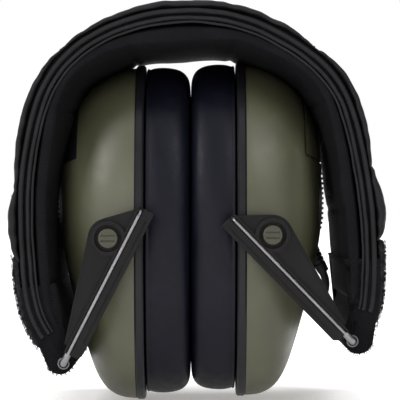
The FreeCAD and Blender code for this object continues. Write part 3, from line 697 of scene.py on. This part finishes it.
def sleeve_fray(side):
    """Loose threads round the front and rear rims of the end sleeve."""
    outline = sleeve_outline(side, 0.0)[4:31]
    threads = []
    for face in (-1, 1):
        for k in range(FRAY_THREADS):
            at = (0.5 + 0.5 * math.sin(k * 12.9898)) * (len(outline) - 2)
            p = outline[int(at)] * (1 - at % 1) + outline[int(at) + 1] * (at % 1)
            away = Vector((p[0] - TIP[side].x, 0, p[1] - TIP[side].z)).normalized()
            root = Vector((p[0], face * 40.4 * MM, p[1])) - away * 0.0003
            tall = 0.35 + 0.35 * abs(math.sin(k * 4.1))
            bend = Vector((math.sin(k * 7.7), 0, math.cos(k * 5.3))) * 0.00035
            crest = root + away * tall * MM + Vector((0, -face * 0.0003, 0)) + bend
            end = root + away * 0.2 * MM + Vector((0, -face * 0.0009, 0)) + bend * 2
            threads.append(tube([root, crest, end], 0.00009, 4))
    return threads


CLOSURE = {"left": (0.010, 0.119), "right": (0.896, 0.993)}
TAPE_FACE, TAPE_THICKNESS = 2.5, 2.3
TAPE_LOOPS = 520


def build_closure(side):
    """Hook-and-loop strip below the cover's end, with a frayed pile along its edges."""
    a, b = CLOSURE[side]
    rows = []
    count = int((b - a) * BAND_LENGTH / 0.0006)
    for i in range(count + 1):
        share = a + (b - a) * i / count
        near = min(i, count - i) / 3
        fat = math.sqrt(max(0.05, 1 - (1 - min(near, 1)) ** 2))
        row = []
        top = TAPE_FACE + TAPE_THICKNESS * fat
        for y, o in cushion_ring(HALF_WIDTH - 0.4, TAPE_FACE, top, 7, 150):
            p = on_band(share, o * MM, y * MM)
            pile = 0.34 * rough(p, 700, 2) + 0.26 * rough(p, 1500, 7)
            edge = 1.0 if o > 2.8 else 0.2
            spread = pile * 0.6 if abs(y) > HALF_WIDTH - 2 else 0.0
            row.append(on_band(share, (o + pile * edge) * MM, (y + spread) * MM))
        rows.append(row)
    skin = loft(rows)
    loops = []
    for k in range(TAPE_LOOPS):
        share = a + (b - a) * (0.5 + 0.5 * noise.noise(Vector((k * 1.37, 0.3, 2.1))) * 1.9)
        share = min(max(share, a + 0.002), b - 0.002)
        face = -1 if k % 2 else 1
        y = face * (HALF_WIDTH - 0.3 - 3.0 * abs(noise.noise(Vector((k * 0.73, 5.5, 1.0)))))
        top = TAPE_FACE + TAPE_THICKNESS - 0.2
        lean = noise.noise(Vector((k * 0.91, 9.1, 4.0))) * 0.9
        tall = 0.45 + 0.5 * abs(noise.noise(Vector((k * 1.13, 2.2, 8.0))))
        foot = on_band(share, top * MM, y * MM)
        crest = on_band(share + 0.0012, (top + tall) * MM, (y + lean * 0.5) * MM)
        land = on_band(share + 0.0024, (top - 0.1) * MM, (y + lean) * MM)
        loops.append(tube([foot, crest, land], 0.00007, 4))
    verts, faces, uvs = join_lists([skin] + loops)
    piece = make_object(f"{side}_hook_tape", verts, faces, MATERIALS["hook_tape"], uvs)
    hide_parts(f"{side}_closure_strip")
    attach(piece, f"{side}_band_end")


# Section of a hinge washer: radius and distance from the band's mid plane.
WASHER_SECTION = [(1.25, 40.7), (1.25, 41.0), (1.33, 41.08), (1.72, 41.08), (1.85, 40.98),
                  (1.85, 40.7)]


def build_washers(side):
    """Steel washers between the wire and the end sleeve, front and rear."""
    parts = []
    for face in (-1, 1):
        rows = []
        for radius, y in WASHER_SECTION:
            row = []
            for k in range(32):
                a = 2 * math.pi * k / 32
                row.append(HINGE[side] + Vector((math.cos(a) * radius, face * y,
                                                 math.sin(a) * radius)) * MM)
            rows.append(row)
        rows.append(rows[0])
        parts.append(loft(rows, caps=False))
    verts, faces, uvs = join_lists(parts)
    piece = make_object(f"{side}_hinge_washers", verts, faces, DULL_STEEL, uvs)
    weld(piece)
    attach(piece, f"{side}_band_end")


# ---------------------------------------------------------------- ear cups
MIDDLE_X = -2.6
PIVOT_Z = {"left": 51.9, "right": 52.9}
FULLNESS = 0.87


def oval_point(angle, half_height, half_depth, centre):
    y, z = math.sin(angle), math.cos(angle)
    return (math.copysign(abs(y) ** FULLNESS, y) * half_depth,
            math.copysign(abs(z) ** FULLNESS, z) * half_height + centre)


def cup_point(side, out, y, z):
    """A point of a cup from its distance out of the cushion face, depth and height."""
    sign = -1 if side == "left" else 1
    return Vector(((MIDDLE_X + sign * out) * MM, y * MM, (PIVOT_Z[side] + z) * MM))


# Section of the cushion: share of the way from the outer edge to the ear opening, and
# distance from the face plane.
CUSHION_SECTION = [(0.0, 14.2), (-0.012, 13.4), (0.012, 12.9), (-0.004, 12.4), (-0.022, 10.5),
                   (-0.024, 8.0), (-0.012, 5.6), (0.012, 3.6), (0.055, 2.0), (0.115, 0.95),
                   (0.19, 0.32), (0.30, 0.05), (0.45, 0.02), (0.58, 0.08), (0.70, 0.5),
                   (0.80, 1.1), (0.885, 2.2), (0.95, 3.9), (0.985, 6.2), (0.995, 8.8),
                   (0.985, 11.2), (0.975, 12.6), (1.0, 13.3), (1.0, 14.2)]


# Half height, half depth and centre height of the cushion's outer edge and ear opening.
CUSHION_OUTER = (51.3, 38.7, 1.9)
CUSHION_INNER = (30.0, 18.5, 1.3)
CUSHION_STEPS, GATHERS = 168, 34


def build_cushion(side):
    """Foam ring in a welded leatherette skin, crowned towards its two edges."""
    rows = []
    for i in range(CUSHION_STEPS):
        angle = 2 * math.pi * i / CUSHION_STEPS
        outer = oval_point(angle, *CUSHION_OUTER)
        inner = oval_point(angle, *CUSHION_INNER)
        row = []
        for share, out in CUSHION_SECTION:
            y = outer[0] + (inner[0] - outer[0]) * share
            z = outer[1] + (inner[1] - outer[1]) * share
            p = cup_point(side, out, y, z)
            soft = 0.10 * rough(p, 75, 2)
            if share > 0.75 and 2 < out < 12:
                gather = math.sin(angle * GATHERS + 2 * math.sin(angle * 5))
                soft += 0.35 * gather * (share - 0.75) * 3
            radial = Vector((0, y, z - 1.5)).normalized()
            row.append(p + radial * soft * MM)
        rows.append(row)
    rows.append(rows[0])
    verts, faces, uvs = loft(rows, closed=True, caps=False)
    piece = make_object(f"{side}_ear_cushion", verts, faces, MATERIALS["cushion_skin"], uvs)
    weld(piece)
    subdivide(piece, 1)
    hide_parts(f"{side}_cushion")
    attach(piece, f"{side}_cup")


def weld(piece, distance=0.000001):
    mesh = bmesh.new()
    mesh.from_mesh(piece.data)
    bmesh.ops.remove_doubles(mesh, verts=mesh.verts, dist=distance)
    bmesh.ops.recalc_face_normals(mesh, faces=mesh.faces)
    mesh.to_mesh(piece.data)
    mesh.free()


def subdivide(piece, levels):
    """Applies subdivision for good."""
    modifier = piece.modifiers.new("smooth", "SUBSURF")
    modifier.levels = modifier.render_levels = levels
    depsgraph = bpy.context.evaluated_depsgraph_get()
    fine = bpy.data.meshes.new_from_object(piece.evaluated_get(depsgraph))
    piece.modifiers.clear()
    old = piece.data
    piece.data = fine
    bpy.data.meshes.remove(old)


# Section of the foam sheet: distance from the cushion face and share of its outline.
FOAM_SECTION = [(20.3, 0.90), (20.3, 0.985), (19.2, 1.0), (18.3, 1.0), (17.4, 0.97),
                (17.4, 0.7), (17.5, 0.45), (17.5, 0.2), (17.5, 0.02)]
FOAM_HALF_HEIGHT, FOAM_HALF_DEPTH, FOAM_CENTRE = 46.0, 32.5, 1.3


def build_foam(side):
    """Sheet of open-cell foam behind the ear opening."""
    rows = []
    for depth, edge in FOAM_SECTION:
        row = []
        for i in range(96):
            angle = 2 * math.pi * i / 96
            y, z = oval_point(angle, FOAM_HALF_HEIGHT * edge, FOAM_HALF_DEPTH * edge, FOAM_CENTRE)
            p = cup_point(side, depth, y, z)
            dimple = 0.12 * rough(p, 260, 3)
            row.append(cup_point(side, depth + dimple, y, z))
        rows.append(row)
    verts, faces, uvs = loft(rows)
    piece = make_object(f"{side}_foam_sheet", verts, faces, MATERIALS["foam"], uvs)
    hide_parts(f"{side}_foam_liner")
    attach(piece, f"{side}_cup")


# ---------------------------------------------------------------- cable
CABLE_ROUTE = [(0.03703, 0.00627, 0.04602), (0.04089, 0.00772, 0.03928), (0.0414, 0.013, 0.0339),
               (0.0392, 0.021, 0.0289), (0.0364, 0.029, 0.0274), (0.03754, 0.0345, 0.03192),
               (0.03754, 0.04135, 0.03192)]
CABLE_DIAMETER = 0.0025


def build_cable():
    """Lead from the right cup to its rear slider."""
    curve = bpy.data.curves.new("cup_lead_line", "CURVE")
    curve.dimensions = "3D"
    curve.resolution_u = 16
    spline = curve.splines.new("NURBS")
    spline.points.add(len(CABLE_ROUTE) - 1)
    for point, place in zip(spline.points, CABLE_ROUTE):
        point.co = (*place, 1)
    spline.order_u = 3
    spline.use_endpoint_u = True
    line = bpy.data.objects.new("cup_lead_line", curve)
    bpy.context.scene.collection.objects.link(line)
    depsgraph = bpy.context.evaluated_depsgraph_get()
    plain = bpy.data.meshes.new_from_object(line.evaluated_get(depsgraph))
    path = [tuple(v.co) for v in plain.vertices]
    bpy.data.meshes.remove(plain)
    bpy.data.objects.remove(line)
    verts, faces, uvs = tube(path, CABLE_DIAMETER / 2, 16)
    piece = make_object("cup_lead", verts, faces, MATERIALS["rubber"], uvs)
    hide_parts("cup_cable")
    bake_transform(piece)


# ---------------------------------------------------------------- build
build_band()
build_piping()
stitch_rows()
for each in SIDES:
    build_end_sleeve(each)
    build_washers(each)
    build_closure(each)
    build_cushion(each)
    build_foam(each)
build_cable()


# ---------------------------------------------------------------- studio
FLOOR_REACH, FLOOR_DROP = 6.0, 0.0003
AIM = (0, 0, 0.06)
DAYLIGHT, WARM = (0.97, 0.98, 1), (1, 0.84, 0.74)
# Area lights: name, place, target, size, power and colour.
LIGHTS = [("key", (-0.86, -0.52, 0.62), AIM, (0.30, 0.40), 8, DAYLIGHT),
          ("left", (-0.42, -0.95, 0.34), AIM, (0.30, 0.40), 1.6, DAYLIGHT),
          ("fill", (0.54, -0.76, 0.66), AIM, (0.30, 0.40), 4.2, DAYLIGHT),
          ("bounce", (0, -0.55, 0.03), (0, 0, 0.03), (0.8, 0.05), 0.5, WARM)]
SURROUND = 0.30               # brightness of the surroundings, other than as the camera sees them
SUN_STRENGTH, SUN_ANGLE = 2.7, 1.2
VIEW_DISTANCE, VIEW_FIELD, SENSOR = 0.700, 0.128, 36
VIEW_CENTRE = (0.0003, 0.0634)


def build_floor():
    mesh = bpy.data.meshes.new("floor")
    r = FLOOR_REACH
    mesh.from_pydata([(-r, -r, 0), (r, -r, 0), (r, r, 0), (-r, r, 0)], [], [(0, 1, 2, 3)])
    floor = bpy.data.objects.new("floor", mesh)
    bpy.context.scene.collection.objects.link(floor)
    floor.location.z = -FLOOR_DROP
    shade = Shade("pale_floor", (0.93, 0.93, 0.93), 0.9, Specular_IOR_Level=0.1,
                  Emission_Strength=0.35)
    shade.bsdf.inputs["Emission Color"].default_value = (1, 0.97, 0.94, 1)
    mesh.materials.append(shade.material)


def area_light(name, place, target, size, power, colour):
    data = bpy.data.lights.new(name, "AREA")
    data.shape = "RECTANGLE"
    data.size, data.size_y = size
    data.energy = power
    data.color = colour
    lamp = bpy.data.objects.new(name, data)
    lamp.location = place
    lamp.rotation_euler = (Vector(target) - Vector(place)).to_track_quat("-Z", "Y").to_euler()
    bpy.context.scene.collection.objects.link(lamp)


def build_studio():
    world = bpy.data.worlds.new("studio")
    bpy.context.scene.world = world
    world.use_nodes = True
    tree = world.node_tree
    backdrop = tree.nodes["Background"]
    backdrop.inputs["Color"].default_value = (1, 1, 1, 1)
    backdrop.inputs["Strength"].default_value = 1.0
    around = tree.nodes.new("ShaderNodeBackground")
    around.inputs["Color"].default_value = (1, 1, 1, 1)
    around.inputs["Strength"].default_value = SURROUND
    rays = tree.nodes.new("ShaderNodeLightPath")
    choose = tree.nodes.new("ShaderNodeMixShader")
    tree.links.new(rays.outputs["Is Camera Ray"], choose.inputs["Fac"])
    tree.links.new(around.outputs["Background"], choose.inputs[1])
    tree.links.new(backdrop.outputs["Background"], choose.inputs[2])
    tree.links.new(choose.outputs["Shader"], tree.nodes["World Output"].inputs["Surface"])
    for light in LIGHTS:
        area_light(*light)
    sun = bpy.data.lights.new("overhead", "SUN")
    sun.energy = SUN_STRENGTH
    sun.angle = SUN_ANGLE
    lamp = bpy.data.objects.new("overhead", sun)
    bpy.context.scene.collection.objects.link(lamp)
    bpy.context.scene.view_settings.view_transform = "Standard"


def build_camera():
    data = bpy.data.cameras.new("camera")
    data.sensor_width = SENSOR
    data.lens = SENSOR * VIEW_DISTANCE / VIEW_FIELD
    data.clip_start = 0.01
    camera = bpy.data.objects.new("camera", data)
    camera.location = (VIEW_CENTRE[0], -VIEW_DISTANCE, VIEW_CENTRE[1])
    camera.rotation_euler = (math.radians(90), 0, 0)
    bpy.context.scene.collection.objects.link(camera)
    bpy.context.scene.camera = camera


build_floor()
build_studio()
build_camera()
